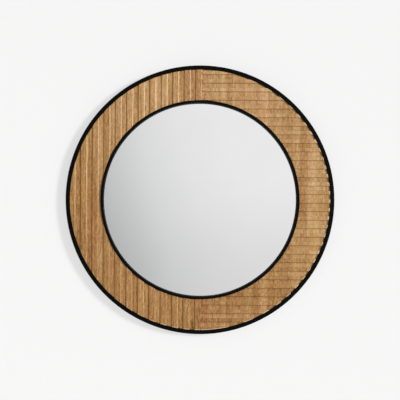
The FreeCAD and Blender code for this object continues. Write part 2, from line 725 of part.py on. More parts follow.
def hanger_ring(doc, name, side):
    """D-shaped wire ring: a straight pin, two short arms and a round bow, hanging by its own weight."""
    body = make_body(doc, name)
    path = Drawing(body, "wire_path", "XZ_Plane")
    bend = "Sizes.ring_bend"
    arm = "-Sizes.ring_straight"
    path.outline([
        ("0", "0"),
        (f"-{RING_HALF} + {bend}", "0"),
        (f"-{RING_HALF}", f"-{bend}", bend, 1),
        (f"-{RING_HALF}", arm),
        ("0", f"{arm} - {RING_HALF}", RING_HALF, 1),
        (RING_HALF, arm, RING_HALF, 1),
        (RING_HALF, f"-{bend}"),
        (f"{RING_HALF} - {bend}", "0", bend, 1),
    ])
    section = Drawing(body, "wire_section", "YZ_Plane")
    section.circle(("0", "0"), PIN_RADIUS)
    doc.recompute()
    wire = body.newObject("PartDesign::AdditivePipe", "wire")
    wire.Profile = section.sketch
    wire.Spine = (path.sketch, [f"Edge{index}" for index in range(1, path.sketch.GeometryCount + 1)])
    doc.recompute()
    place_at_hinge(body, side, tilt=RING_TILT)
    return body


def build():
    doc = FreeCAD.newDocument("RoundMirror")
    make_sizes(doc)
    bodies = [
        outer_hoop(doc),
        inner_hoop(doc),
        hoop_tabs(doc),
        left_wood_half(doc),
        right_wood_half(doc),
        backing_board(doc),
        mirror_glass(doc),
        glass_tape(doc),
        tab_screws(doc),
        wood_half_screws(doc),
        inner_hoop_screws(doc),
        wall_bumpers(doc),
    ]
    for name, side in (("left", LEFT), ("right", RIGHT)):
        bodies.append(hanger_strap(doc, f"{name}_hanger_strap", side))
        bodies.append(hanger_ring(doc, f"{name}_hanger_ring", side))
        bodies.append(hanger_screws(doc, f"{name}_hanger_screws", side))
    doc.recompute()
    return doc, bodies


def check(doc, bodies):
    for item in doc.Objects:
        if "Invalid" in item.State or "Error" in item.State:
            raise RuntimeError(f"{item.Name}: {item.State}")
    for body in bodies:
        if body.Shape.isNull() or not body.Shape.isValid():
            raise RuntimeError(f"{body.Label}: bad shape")
        print(f"{body.Label}: {len(body.Shape.Solids)} solids, {body.Shape.Volume:.0f} mm3")


def export(bodies):
    os.makedirs("parts", exist_ok=True)
    for body in bodies:
        body.Shape.exportStep(f"parts/{body.Label}.step")


document, sub_parts = build()
check(document, sub_parts)
export(sub_parts)
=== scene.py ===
"""Round wall mirror with a reeded wood ring, dressed over its CAD model. Metres.

The wall is the XZ plane, the mirror looks along -Y and hangs with +Z up. The origin is the point of the wall
behind the middle of the glass.
"""
import math

import bmesh
import bpy
from mathutils import Matrix, Vector


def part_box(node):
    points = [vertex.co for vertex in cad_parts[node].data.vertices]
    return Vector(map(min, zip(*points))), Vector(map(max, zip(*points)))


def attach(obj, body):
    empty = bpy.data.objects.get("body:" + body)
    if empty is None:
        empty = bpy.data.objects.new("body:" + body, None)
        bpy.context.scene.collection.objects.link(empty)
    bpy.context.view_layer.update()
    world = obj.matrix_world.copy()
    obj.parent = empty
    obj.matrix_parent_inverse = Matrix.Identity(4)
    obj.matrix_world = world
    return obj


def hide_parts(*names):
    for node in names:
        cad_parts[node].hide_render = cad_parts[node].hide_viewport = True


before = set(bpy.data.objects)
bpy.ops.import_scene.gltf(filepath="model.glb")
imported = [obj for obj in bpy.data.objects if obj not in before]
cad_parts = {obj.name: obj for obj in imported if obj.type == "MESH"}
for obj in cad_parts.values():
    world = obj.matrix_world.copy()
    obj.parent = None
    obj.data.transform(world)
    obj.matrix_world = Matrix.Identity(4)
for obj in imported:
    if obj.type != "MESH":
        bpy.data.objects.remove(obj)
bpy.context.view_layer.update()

# Sizes of the CAD model that the boxes of its nodes don't give
FLUTE_DEPTH = 0.0030
UPRIGHT_PITCH = 0.0341
LEVEL_PITCH = 0.0254
LEVEL_OFFSET = 0.0039
OUTER_HOOP_WIDTH = 0.0120
INNER_HOOP_WIDTH = 0.0085

# Places of the CAD model that the finishes and the small metal details follow
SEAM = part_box("left_wood_half")[1].x
WOOD_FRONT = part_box("left_wood_half")[0].y
FLUTE_FLOOR = WOOD_FRONT + FLUTE_DEPTH
WOOD_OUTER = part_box("right_wood_half")[1].x
BOARD_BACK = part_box("backing_board")[1].y
TAB_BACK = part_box("hoop_tabs")[1].y
GLASS_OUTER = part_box("mirror_glass")[1].x
RIM_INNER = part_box("outer_hoop")[1].x - OUTER_HOOP_WIDTH
HOOP_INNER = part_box("inner_hoop")[1].x - INNER_HOOP_WIDTH


# Node trees built in code

class Graph:
    """A node tree, with short ways to add the nodes that the finishes are made of."""

    def __init__(self, tree):
        self.tree = tree
        tree.nodes.clear()

    def feed(self, socket, value):
        if isinstance(value, bpy.types.NodeSocket):
            self.tree.links.new(value, socket)
        else:
            socket.default_value = value

    def node(self, kind, values=None, **settings):
        made = self.tree.nodes.new(kind)
        for name, value in settings.items():
            setattr(made, name, value)
        for socket, value in (values or {}).items():
            self.feed(made.inputs[socket], value)
        return made

    def math(self, operation, *values):
        made = self.tree.nodes.new("ShaderNodeMath")
        made.operation = operation
        for socket, value in zip(made.inputs, values):
            self.feed(socket, value)
        return made.outputs[0]

    def times(self, first, second):
        return self.math("MULTIPLY", first, second)

    def total(self, *values):
        result = values[0]
        for value in values[1:]:
            result = self.math("ADD", result, value)
        return result

    def swing(self, value, amount):
        """A pattern between 0 and 1, turned into a change of up to half the amount each way."""
        return self.times(self.math("SUBTRACT", value, 0.5), amount)

    def fit(self, value, low, high, to_low=0.0, to_high=1.0, smooth=True):
        """Takes low to to_low and high to to_high, and goes no further than either."""
        made = self.node("ShaderNodeMapRange", {
            "Value": value, "From Min": low, "From Max": high, "To Min": to_low, "To Max": to_high})
        made.interpolation_type = "SMOOTHSTEP" if smooth else "LINEAR"
        return made.outputs["Result"]

    def vector(self, x, y, z):
        return self.node("ShaderNodeCombineXYZ", {"X": x, "Y": y, "Z": z}).outputs[0]

    def place(self):
        """The object's own coordinates, which are those of the frame."""
        return self.node("ShaderNodeTexCoord").outputs["Object"]

    def split(self, vector):
        made = self.node("ShaderNodeSeparateXYZ", {"Vector": vector})
        return made.outputs["X"], made.outputs["Y"], made.outputs["Z"]

    def radius(self, x, z):
        """The distance from the middle of the glass, seen from the front."""
        return self.math("SQRT", self.total(self.math("POWER", x, 2.0), self.math("POWER", z, 2.0)))

    def steps(self, value, start, pitch):
        """How many pitches a place lies after the start."""
        return self.math("DIVIDE", self.math("SUBTRACT", value, start), pitch)

    def noise(self, vector, scale, detail=2.0, roughness=0.5, distortion=0.0):
        return self.node("ShaderNodeTexNoise", {
            "Vector": vector, "Scale": scale, "Detail": detail, "Roughness": roughness,
            "Distortion": distortion}).outputs[0]

    def stretched(self, x, y, z, across, along, detail=2.0, roughness=0.5):
        """Noise drawn out along Z. Across and along are how often it changes per metre."""
        scaled = self.vector(self.times(x, across), self.times(y, across), self.times(z, along))
        return self.noise(scaled, 1.0, detail, roughness)

    def layers(self, x, y, z, grain):
        """The layers of a grain by name, and the change that each makes to the tone."""
        patterns = {
            name: self.stretched(x, y, z, *settings) for name, (*settings, _) in grain.items()}
        changes = [self.swing(patterns[name], amount) for name, (*_, amount) in grain.items()]
        return patterns, changes

    def strip_tones(self, value, start, pitch):
        """A number between 0 and 1 of its own for each raised strip and each channel."""
        strip = self.math("FLOOR", self.steps(value, start, pitch / 2))
        return self.node(
            "ShaderNodeTexWhiteNoise", {"W": strip}, noise_dimensions="1D").outputs["Value"]

    def colours(self, value, stops, interpolation="LINEAR"):
        """A ramp of colours, from stops of (place from 0 to 1, linear colour)."""
        made = self.node("ShaderNodeValToRGB", {"Fac": value})
        ramp = made.color_ramp
        ramp.interpolation = interpolation
        while len(ramp.elements) < len(stops):
            ramp.elements.new(0.5)
        for element, (position, colour) in zip(ramp.elements, stops):
            element.position = position
            element.color = (*colour, 1.0)
        return made.outputs["Color"]

    def blend(self, factor, first, second, kind="MIX"):
        made = self.tree.nodes.new("ShaderNodeMix")
        made.data_type = "RGBA"
        made.blend_type = kind
        self.feed(made.inputs[0], factor)
        self.feed(made.inputs[6], first if isinstance(first, bpy.types.NodeSocket) else (*first, 1.0))
        self.feed(made.inputs[7], second if isinstance(second, bpy.types.NodeSocket) else (*second, 1.0))
        return made.outputs[2]

    def relief(self, height, distance, strength=1.0):
        return self.node("ShaderNodeBump", {
            "Height": height, "Distance": distance, "Strength": strength}).outputs[0]


def material(name):
    made = bpy.data.materials.new(name)
    made.use_nodes = True
    return made, Graph(made.node_tree)


def surface(graph, colour, roughness, normal, metallic=0.0, specular=0.5):
    shader = graph.node("ShaderNodeBsdfPrincipled", {
        "Base Color": colour, "Roughness": roughness, "Normal": normal, "Metallic": metallic,
        "Specular IOR Level": specular})
    graph.node("ShaderNodeOutputMaterial", {"Surface": shader.outputs[0]})


def srgb(red, green, blue):
    """Display values from 0 to 255 as the linear colour that shows as them."""
    return tuple(
        value / 12.92 if value <= 0.04045 else ((value + 0.055) / 1.055) ** 2.4
        for value in (red / 255, green / 255, blue / 255))


# Wood

# The level half is glued up from upright staves: where each starts, to the right of the middle, and its tone
STAVES = (
    (0.000, 0.50), (0.052, 0.36), (0.062, 0.60), (0.078, 0.32), (0.095, 0.52), (0.132, 0.58),
    (0.158, 0.44), (0.176, 0.64), (0.200, 0.38), (0.223, 0.52), (0.240, 0.34), (0.275, 0.62),
    (0.296, 0.46), (0.318, 0.66), (0.352, 0.50),
)
STAVES_REACH = 0.4

# Layers of grain: how often each changes per metre, across and along, its detail and roughness, and its
# change of tone
WOOD_GRAIN = {
    "broad": (16.0, 1.6, 2.0, 0.5, 0.36),
    "growth": (150.0, 5.0, 3.0, 0.6, 0.44),
    "figure": (230.0, 44.0, 3.0, 0.65, 0.50),
    "fibre": (520.0, 15.0, 3.0, 0.65, 0.60),
    "speck": (360.0, 140.0, 2.0, 0.7, 0.72),
}
PLYWOOD_GRAIN = {
    "figure": (34.0, 2.6, 3.0, 0.6, 0.50),
    "growth": (130.0, 3.0, 3.0, 0.6, 0.36),
    "fibre": (620.0, 16.0, 3.0, 0.65, 0.50),
}
WOOD_TONE = 0.445
PLYWOOD_TONE = 0.5
EASED_EDGE = 0.0011


def swayed(graph, x, y, z, near_seam):
    """X along the grain lines, which wander a little, and more near the seam."""
    slow = graph.noise(graph.vector(x, y, graph.times(z, 0.45)), 5.0, 2.0)
    quick = graph.noise(graph.vector(x, y, graph.times(z, 0.55)), 24.0, 2.0)
    sway = graph.total(0.022, graph.times(near_seam, 0.05))
    shift = graph.times(graph.swing(slow, 1.0), sway)
    shift = graph.total(shift, graph.times(graph.swing(quick, 0.010), near_seam))
    return graph.total(x, shift)


def upright_tone(graph, x):
    """Each strip and channel of the upright half has a tone of its own."""
    return graph.swing(graph.strip_tones(x, SEAM, UPRIGHT_PITCH), 0.12)


def level_tone(graph, x, z):
    """Staves and strips, with painted light: the lower part of each channel is painted paler, more so low
    down.
    """
    staves = graph.colours(
        graph.math("DIVIDE", x, STAVES_REACH),
        [(edge / STAVES_REACH, (tone,) * 3) for edge, tone in STAVES], "CONSTANT")
    strips = graph.strip_tones(z, LEVEL_OFFSET, LEVEL_PITCH)
    part = graph.math("FRACT", graph.steps(z, LEVEL_OFFSET, LEVEL_PITCH))
    # Painted light: paler near the lower wall of each channel, growing towards the bottom of the mirror
    corner = graph.times(
        graph.fit(part, 0.02, 0.34, 1.0, 0.0, smooth=False), graph.fit(z, 0.05, -0.30))
    return graph.total(graph.swing(staves, 0.50), graph.swing(strips, 0.10), graph.times(corner, 0.09))


def painted_wall_light(graph, colour, z, upright):
    """Painted highlight on channel walls facing the light, painted shade on those facing away."""
    aside, _, upwards = graph.split(graph.node("ShaderNodeTexCoord").outputs["Normal"])
    facing = aside if upright else upwards
    # Painted light: walls facing right or up are painted paler, walls facing the other way darker, by height
    lit_wall = graph.fit(facing, 0.25, 0.85)
    shaded_wall = graph.fit(facing, -0.25, -0.85)
    if upright:
        highlight_amount = graph.fit(z, -0.12, 0.30, 0.06, 0.36)
        colour = graph.blend(graph.times(lit_wall, highlight_amount), colour, srgb(240, 222, 196))
        return graph.blend(graph.times(shaded_wall, 0.75), colour, srgb(192, 126, 72))
    highlight_amount = graph.fit(z, -0.34, 0.28, 0.10, 0.22)
    shade_amount = graph.fit(z, -0.28, 0.20, 1.0, 0.55)
    colour = graph.blend(graph.times(lit_wall, highlight_amount), colour, srgb(236, 208, 168))
    return graph.blend(graph.times(shaded_wall, shade_amount), colour, srgb(196, 152, 112), "MULTIPLY")


def painted_end_highlight(graph, colour, x, y, z):
    """Painted highlight: a thin pale edge at the ends of the raised strips, where the light comes from."""
    edge = graph.fit(graph.radius(x, z), WOOD_OUTER - 0.0020, WOOD_OUTER - 0.0010)
    raised = graph.fit(y, FLUTE_FLOOR, WOOD_FRONT)
    lit = graph.fit(graph.math("SUBTRACT", x, graph.times(z, 0.6)), -0.15, 0.25)
    share = graph.times(graph.times(edge, raised), graph.times(lit, 0.70))
    return graph.blend(share, colour, srgb(238, 219, 186))


def wood(name, upright):
    """Oiled hardwood with an upright grain, wavier and more flecked towards the seam."""
    made, graph = material(name)
    x, y, z = graph.split(graph.place())
    from_seam = graph.math("ABSOLUTE", graph.math("SUBTRACT", x, SEAM))
    near_seam = graph.fit(from_seam, 0.02, 0.13, 1.0, 0.0)
    across = swayed(graph, x, y, z, near_seam)

    patterns, changes = graph.layers(across, y, z, WOOD_GRAIN)
    fibre = patterns["fibre"]
    pore = graph.fit(graph.stretched(across, y, z, 1300.0, 55.0, 1.0), 0.60, 0.74)
    fleck = graph.fit(graph.stretched(across, y, z, 240.0, 42.0, 2.0), 0.58, 0.72)
    dash = graph.times(fleck, graph.total(0.3, near_seam))
    warmth = graph.stretched(across, y, z, 30.0, 3.0, 2.0)

    # Painted light: the tone rises towards the right and the top, where the light comes from
    painted_light_slope = graph.total(graph.times(x, 0.04 if upright else 0.15), graph.times(z, 0.22))
    strips = upright_tone(graph, x) if upright else level_tone(graph, x, z)
    tone = graph.total(
        WOOD_TONE, painted_light_slope, *changes, strips, graph.times(pore, -0.16), graph.times(dash, -0.20))
    colour = graph.colours(tone, [
        (0.0, srgb(92, 53, 16)),
        (0.25, srgb(141, 96, 39)),
        (0.5, srgb(177, 134, 81)),
        (0.75, srgb(203, 168, 122)),
        (1.0, srgb(222, 195, 158)),
    ])
    yellower = graph.fit(warmth, 0.50, 0.68, 0.0, 0.6)
    pinker = graph.fit(warmth, 0.50, 0.32, 0.0, 0.6)
    colour = graph.blend(yellower, colour, srgb(251, 247, 218), "MULTIPLY")
    colour = graph.blend(pinker, colour, srgb(255, 238, 234), "MULTIPLY")
    # Painted highlight and painted shade on the channel walls
    colour = painted_wall_light(graph, colour, z, upright)
    # Painted highlight on the ends of the raised strips
    colour = painted_end_highlight(graph, colour, x, y, z)

    height = graph.total(
        graph.times(fibre, 0.5), graph.times(patterns["growth"], 0.3), graph.times(pore, -0.9))
    relief = graph.relief(height, 0.00025, 0.7)
    eased = graph.node("ShaderNodeBevel", {"Radius": EASED_EDGE}, samples=6).outputs[0]
    graph.feed(relief.node.inputs["Normal"], eased)
    roughness = graph.total(0.40, graph.swing(fibre, 0.16), graph.times(pore, 0.2))
    surface(graph, colour, roughness, relief)
    return made


def plywood(name):
    """Raw birch veneer, its grain upright, with soft figure, short pores and a few pin knots."""
    made, graph = material(name)
    x, y, z = graph.split(graph.place())
    slow = graph.noise(graph.vector(x, y, graph.times(z, 0.5)), 4.0, 3.0)
    across = graph.total(x, graph.swing(slow, 0.16))
    patterns, changes = graph.layers(across, y, z, PLYWOOD_GRAIN)
    fibre = patterns["fibre"]
    pore = graph.fit(graph.stretched(across, y, z, 1500.0, 110.0, 1.0), 0.62, 0.74)
    knots = graph.node("ShaderNodeTexVoronoi", {
        "Vector": graph.vector(x, 0.0, graph.times(z, 0.6)), "Scale": 9.0}).outputs["Distance"]
    knot = graph.fit(knots, 0.02, 0.05, 1.0, 0.0)
    tone = graph.total(
        PLYWOOD_TONE, *changes, graph.times(pore, -0.22), graph.times(knot, -0.55))
    colour = graph.colours(tone, [
        (0.0, srgb(126, 92, 60)),
        (0.35, srgb(186, 156, 116)),
        (0.6, srgb(209, 183, 146)),
        (1.0, srgb(226, 206, 174)),
    ])
    height = graph.total(fibre, graph.times(pore, -0.8))
    surface(graph, colour, graph.fit(fibre, 0.2, 0.8, 0.62, 0.78), graph.relief(height, 0.0002, 0.7))
    return made


# Metal, glass, foam and felt

def black_steel(name):
    """Satin black powder coat with a fine orange peel and a little dust, rubbed shiny next to the glass."""
    made, graph = material(name)
    place = graph.place()
    x, _, z = graph.split(place)
    rubbed = graph.fit(graph.radius(x, z), HOOP_INNER + 0.0014, HOOP_INNER + 0.0010)
    peel = graph.noise(place, 900.0, 2.0)
    cloud = graph.noise(place, 18.0, 3.0)
    grit = graph.noise(place, 2600.0, 1.0)
    colour = graph.blend(graph.fit(cloud, 0.3, 0.75), srgb(4, 4, 3), srgb(8, 7, 6))
    colour = graph.blend(graph.fit(grit, 0.68, 0.80, 0.0, 0.35), colour, srgb(26, 25, 24))
    roughness = graph.total(
        0.44, graph.swing(cloud, 0.12), graph.swing(peel, 0.08), graph.times(rubbed, -0.14))
    specular = graph.total(0.055, graph.times(rubbed, 0.38))
    surface(graph, colour, roughness, graph.relief(peel, 0.00006, 0.6), specular=specular)
    return made


def silvered_glass(name):
    """Silvered float glass, its ground edge paler, greener and matt."""
    made, graph = material(name)
    place = graph.place()
    x, _, z = graph.split(place)
    ground = graph.fit(
        graph.radius(x, z), GLASS_OUTER - 0.0012, GLASS_OUTER - 0.0010, smooth=False)
    film = graph.noise(place, 7.0, 3.0)
    silver = graph.blend(graph.fit(film, 0.3, 0.7), (0.925, 0.926, 0.925), (0.94, 0.94, 0.938))
    colour = graph.blend(ground, silver, srgb(196, 206, 206))
    grain = graph.noise(place, 1500.0, 2.0)
    roughness = graph.total(graph.fit(film, 0.45, 0.8, 0.004, 0.02), graph.times(ground, 0.35))
    metallic = graph.math("SUBTRACT", 1.0, graph.times(ground, 0.7))
    relief = graph.relief(graph.times(grain, ground), 0.00005)
    surface(graph, colour, roughness, relief, metallic=metallic)
    return made


def zinc_steel(name):
    """Bright zinc plating with soft blotches, brushing marks and faint stains."""
    made, graph = material(name)
    place = graph.place()
    x, y, z = graph.split(place)
    blotch = graph.noise(place, 260.0, 3.0, 0.6)
    brushed = graph.stretched(x, y, z, 2600.0, 160.0, 2.0)
    stain = graph.noise(place, 60.0, 4.0, 0.65)
    colour = graph.blend(graph.fit(blotch, 0.3, 0.7), srgb(176, 178, 176), srgb(206, 207, 203))
    colour = graph.blend(graph.fit(stain, 0.55, 0.8, 0.0, 0.4), colour, srgb(150, 142, 124))
    roughness = graph.total(0.30, graph.swing(blotch, 0.18), graph.swing(brushed, 0.14))
    surface(graph, colour, roughness, graph.relief(brushed, 0.00004, 0.6), metallic=1.0)
    return made


def foam_tape(name):
    """White closed-cell foam."""
    made, graph = material(name)
    place = graph.place()
    cells = graph.node("ShaderNodeTexVoronoi", {"Vector": place, "Scale": 1700.0}).outputs["Distance"]
    cloud = graph.noise(place, 40.0, 2.0)
    colour = graph.blend(graph.fit(cloud, 0.3, 0.7), srgb(228, 227, 220), srgb(240, 239, 234))
    colour = graph.blend(graph.fit(cells, 0.0, 0.5, 0.35, 0.0), colour, srgb(170, 168, 160))
    surface(graph, colour, graph.fit(cells, 0.0, 0.7, 0.75, 0.95), graph.relief(cells, 0.0002))
    return made


def felt(name):
    """Pressed dark grey felt with loose fibres."""
    made, graph = material(name)
    place = graph.place()
    fluff = graph.noise(place, 900.0, 5.0, 0.7, 1.5)
    fibres = graph.noise(place, 3200.0, 2.0, 0.6, 2.0)
    colour = graph.blend(graph.fit(fluff, 0.35, 0.68), srgb(44, 44, 46), srgb(88, 87, 86))
    colour = graph.blend(graph.fit(fibres, 0.62, 0.75, 0.0, 0.6), colour, srgb(138, 136, 132))
    surface(graph, colour, graph.fit(fluff, 0.3, 0.7, 0.88, 1.0), graph.relief(fluff, 0.0004))
    return made


def raw_weld(name):
    """Weld bead under the same black coat, rippled and a little rougher."""
    made, graph = material(name)
    place = graph.place()
    spatter = graph.noise(place, 1100.0, 3.0, 0.6)
    cloud = graph.noise(place, 120.0, 2.0)
    colour = graph.blend(graph.fit(cloud, 0.3, 0.7), srgb(9, 8, 7), srgb(17, 16, 15))
    roughness = graph.fit(spatter, 0.3, 0.7, 0.30, 0.48)
    surface(graph, colour, roughness, graph.relief(spatter, 0.0002), specular=0.6)
    return made


def painted_shade_recess_steel(name):
    """The same plating inside a driver recess, duller, and painted darker as shade in the recess."""
    made, graph = material(name)
    blotch = graph.noise(graph.place(), 900.0, 3.0, 0.6)
    colour = graph.blend(graph.fit(blotch, 0.3, 0.7), srgb(74, 74, 72), srgb(112, 112, 108))
    roughness = graph.fit(blotch, 0.3, 0.7, 0.45, 0.65)
    surface(graph, colour, roughness, graph.relief(blotch, 0.0001), metallic=0.9)
    return made


# A finish for each material slot of the record
FINISHES = {
    "black_steel": black_steel("black_powder_coat"),
    "wood_upright": wood("upright_channel_wood", upright=True),
    "wood_level": wood("level_channel_wood", upright=False),
    "plywood": plywood("birch_plywood"),
    "silvered_glass": silvered_glass("silvered_glass"),
    "foam_tape": foam_tape("foam_tape"),
    "zinc_steel": zinc_steel("zinc_plated_steel"),
    "felt": felt("grey_felt"),
}

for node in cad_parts.values():
    for material_slot in node.material_slots:
        material_slot.material = FINISHES[material_slot.material.name]


# Small metal details, each in mesh code

# The driver cross: half its span and half the width of a slot at the top, its depth below the crown, the
# blank above the crown, and what is left of the span and the width at the bottom
CROSS_REACH = 0.0021
CROSS_WIDTH = 0.00048
CROSS_DEPTH = 0.0014
CROSS_ABOVE = 0.001
CROSS_SHORTER = 0.45
CROSS_NARROWER = 0.75

# The screws: their shanks and crowns, where they stand, and how their crosses are turned, in degrees
SHANK_END = -0.0060
SHANK_RADIUS = 0.00175
PAN_CROWN = 0.0022
FLAT_CROWN = 0.0
TAB_COUNT = 6
TAB_SCREW_RADIUS = 0.378
WOOD_SCREW_COUNT = 6
WOOD_SCREW_RADIUS = 0.342
HOOP_SCREW_COUNT = 4
HOOP_SCREW_RADIUS = 0.29175
STRAP_SCREW_SIDE = 0.240
STRAP_SCREW_HEIGHTS = (0.222, 0.206)
FIRST_SPIN = 11
NEXT_SPIN = 37


def add_piece(name, mesh, body="mirror"):
    """A new piece of the object, which moves with a body."""
    piece = bpy.data.objects.new(name, mesh)
    bpy.context.scene.collection.objects.link(piece)
    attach(piece, body)
    return piece


def finished(form, name):
    """The mesh of a form whose faces all point outwards."""
    bmesh.ops.recalc_face_normals(form, faces=form.faces)
    mesh = bpy.data.meshes.new(name)
    form.to_mesh(mesh)
    form.free()
    return mesh


def lathe(points, segments=40):
    """A closed turned form about +Z from a profile of (radius, height) that starts and ends on the axis."""
    form = bmesh.new()
    rings = []
    for radius, height in points:
        if radius == 0:
            rings.append([form.verts.new((0, 0, height))])
        else:
            rings.append([
                form.verts.new((
                    radius * math.cos(2 * math.pi * step / segments),
                    radius * math.sin(2 * math.pi * step / segments), height))
                for step in range(segments)])
    for lower, upper in zip(rings, rings[1:]):
        for step in range(segments):
            after = (step + 1) % segments
            corners = [lower[step % len(lower)], lower[after % len(lower)],
                       upper[after % len(upper)], upper[step % len(upper)]]
            form.faces.new(list(dict.fromkeys(corners)))
    return finished(form, "turned_form")


def cross_cutter(top, bottom):
    """The tapered cross that a driver fits, opening upwards. Its slots narrow and shorten to the bottom."""
    reach, width = CROSS_REACH, CROSS_WIDTH
    outline = [
        (reach, width), (width, width), (width, reach), (-width, reach), (-width, width),
        (-reach, width), (-reach, -width), (-width, -width), (-width, -reach), (width, -reach),
        (width, -width), (reach, -width)]

    def tapered(value):
        return value * (CROSS_SHORTER if abs(value) == reach else CROSS_NARROWER)

    form = bmesh.new()
    upper = [form.verts.new((x, y, top)) for x, y in outline]
    lower = [form.verts.new((tapered(x), tapered(y), bottom)) for x, y in outline]
    form.faces.new(upper)
    form.faces.new(lower[::-1])
    for index in range(len(outline)):
        after = (index + 1) % len(outline)
        form.faces.new([upper[index], lower[index], lower[after], upper[after]])
    return finished(form, "driver_cross")


def screw_head(points, crown):
    """A screw head turned from its profile, with a driver cross cut into its crown."""
    head = bpy.data.objects.new("head_blank", lathe(points))
    cross = cross_cutter(crown + CROSS_ABOVE, crown - CROSS_DEPTH)
    cutter = bpy.data.objects.new("cross_blank", cross)
    for blank, finish in ((head, FINISHES["zinc_steel"]), (cutter, RECESS_SHADE)):
        bpy.context.scene.collection.objects.link(blank)
        blank.data.materials.append(finish)
    cut = head.modifiers.new("cross", "BOOLEAN")
    cut.object = cutter
    cut.operation = "DIFFERENCE"
    cut.solver = "EXACT"
    cut.material_mode = "TRANSFER"
    bpy.context.view_layer.update()
    done = head.evaluated_get(bpy.context.evaluated_depsgraph_get())
    mesh = bpy.data.meshes.new_from_object(done)
    bpy.data.objects.remove(head)
    bpy.data.objects.remove(cutter)
    return mesh


def set_screws(name, nodes, head, places, seat):
    """Copies of one head, seated behind the mirror and facing the wall, each turned its own way."""
    form = bmesh.new()
    for index, (x, z) in enumerate(places):
        start = len(form.verts)
        form.from_mesh(head)
        form.verts.ensure_lookup_table()
        spin = math.radians(FIRST_SPIN + NEXT_SPIN * index)
        placed = (
            Matrix.Translation((x, seat, z)) @ Matrix.Rotation(math.radians(-90), 4, "X")
            @ Matrix.Rotation(spin, 4, "Z"))
        bmesh.ops.transform(form, matrix=placed, verts=form.verts[start:])
    mesh = bpy.data.meshes.new(name)
    form.to_mesh(mesh)
    form.free()
    for finish in head.materials:
        mesh.materials.append(finish)
    piece = add_piece(name, mesh)
    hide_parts(*nodes)


def on_circle(radius, count):
    """Places evenly round the middle of the glass, the first one to its right."""
    return [
        (radius * math.cos(2 * math.pi * step / count), radius * math.sin(2 * math.pi * step / count))
        for step in range(count)]


# The driver recesses are painted darker, as painted shade
RECESS_SHADE = painted_shade_recess_steel("driver_recess_painted_shade")
PAN_HEAD = screw_head([
    (0, SHANK_END), (SHANK_RADIUS, SHANK_END), (SHANK_RADIUS, 0), (0.0034, 0), (0.0035, 0.0003),
    (0.0035, 0.0008), (0.0032, 0.0015), (0.0025, 0.0019), (0.0014, 0.00212), (0, PAN_CROWN)],
    PAN_CROWN)
FLAT_HEAD = screw_head([
    (0, SHANK_END), (SHANK_RADIUS, SHANK_END), (SHANK_RADIUS, -0.0022), (0.0034, -0.0002),
    (0.0034, FLAT_CROWN), (0, FLAT_CROWN)], FLAT_CROWN)

set_screws(
    "tab_screw_heads", ["tab_screws"], PAN_HEAD, on_circle(TAB_SCREW_RADIUS, TAB_COUNT), TAB_BACK)
set_screws(
    "wood_half_screw_heads", ["wood_half_screws"], FLAT_HEAD,
    on_circle(WOOD_SCREW_RADIUS, WOOD_SCREW_COUNT), BOARD_BACK)
set_screws(
    "inner_hoop_screw_heads", ["inner_hoop_screws"], FLAT_HEAD,
    on_circle(HOOP_SCREW_RADIUS, HOOP_SCREW_COUNT), BOARD_BACK)
for side, across in (("left", -STRAP_SCREW_SIDE), ("right", STRAP_SCREW_SIDE)):
    set_screws(
        f"{side}_hanger_screw_heads", [f"{side}_hanger_screws"], PAN_HEAD,
        [(across, height) for height in STRAP_SCREW_HEIGHTS], TAB_BACK)


# The weld beads: how wide a tab is, the share of it that half a bead spans, the thickness of the bead and
# its ripples, what is left of it at the ends, and how far its middle lies off the hoop and in the tab
TAB_WIDTH = 0.020
BEAD_SPAN = 0.42
BEAD_RADIUS = 0.00125
BEAD_RIPPLES = 9
RIPPLE_HEIGHT = 0.10
BEAD_END = 0.35
BEAD_TAPER = 6
OFF_HOOP = 0.0002
IN_TAB = 0.0001
BEAD_STEPS = 36
BEAD_SIDES = 10


def bead_radius(along):
    """The radius of the bead at a share of its length: rippled, and drawn in at both ends."""
    taper = min(1.0, BEAD_TAPER * along + BEAD_END, BEAD_TAPER * (1 - along) + BEAD_END)
    return BEAD_RADIUS * taper * (1 + RIPPLE_HEIGHT * math.sin(2 * math.pi * BEAD_RIPPLES * along))


def add_bead(form, middle):
    """A rippled bead in the corner between the back of a tab and the inside of the outer hoop."""
    half = math.asin(TAB_WIDTH * BEAD_SPAN / RIM_INNER)
    rings = []
    for step in range(BEAD_STEPS + 1):
        along = step / BEAD_STEPS
        angle = middle - half + 2 * half * along
        size = bead_radius(along)
        ring = []
        for side in range(BEAD_SIDES):
            turn = 2 * math.pi * side / BEAD_SIDES
            radius = RIM_INNER - OFF_HOOP + size * math.cos(turn)
            ring.append(form.verts.new((
                radius * math.cos(angle), TAB_BACK - IN_TAB + size * math.sin(turn),
                radius * math.sin(angle))))
        rings.append(ring)
    for first, second in zip(rings, rings[1:]):
        for side in range(BEAD_SIDES):
            after = (side + 1) % BEAD_SIDES
            form.faces.new([first[side], first[after], second[after], second[side]])
    form.faces.new(rings[0])
    form.faces.new(rings[-1][::-1])


def weld_beads():
    """One piece of all the beads, a bead at each tab."""
    form = bmesh.new()
    for tab in range(TAB_COUNT):
        add_bead(form, math.radians(360 / TAB_COUNT * tab))
    for face in form.faces:
        face.smooth = True
    mesh = finished(form, "tab_weld_beads")
    mesh.materials.append(raw_weld("weld_bead"))
    add_piece("tab_weld_beads", mesh)


weld_beads()


# Wall, floor, light and camera

ROOM_SIDE = 4.0
ROOM_TOP = 2.6
FLOOR_LEVEL = -1.3
WALL_GLOW = 0.69


def plane(name, corners, finish):
    """A flat sheet of the room, which isn't part of the object."""
    mesh = bpy.data.meshes.new(name)
    mesh.from_pydata(corners, [], [(0, 1, 2, 3)])
    mesh.materials.append(finish)
    made = bpy.data.objects.new(name, mesh)
    bpy.context.scene.collection.objects.link(made)


